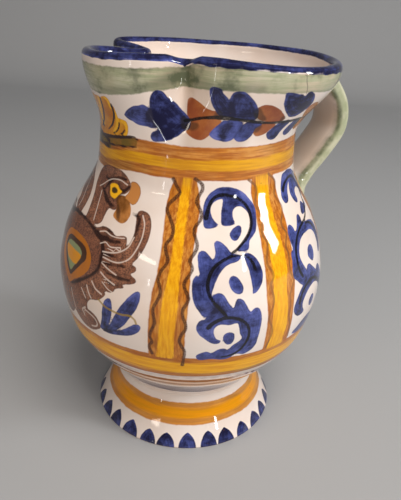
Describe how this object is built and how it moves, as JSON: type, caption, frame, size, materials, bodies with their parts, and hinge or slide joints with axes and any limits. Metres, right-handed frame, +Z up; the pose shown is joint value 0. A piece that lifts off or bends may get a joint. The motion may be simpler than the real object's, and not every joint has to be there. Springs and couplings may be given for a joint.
{
  "type": "ceramic jug",
  "caption": "Hand-painted glazed earthenware jug with a round belly, splayed foot, pinched pouring spout and a small strap handle.",
  "frame": {"origin": "centre of the flat underside of the foot, on the jug's turning axis", "axes": "+Z up along the turning axis, -X towards the pinched spout, +X towards the handle, -Y the side shown in the picture"},
  "size_m": [0.1481, 0.1372, 0.1961],
  "materials": {
    "glaze": "glossy tin glaze, painted"
  },
  "bodies": {
    "root": {"jug": "glaze"}
  },
  "joints": []
}
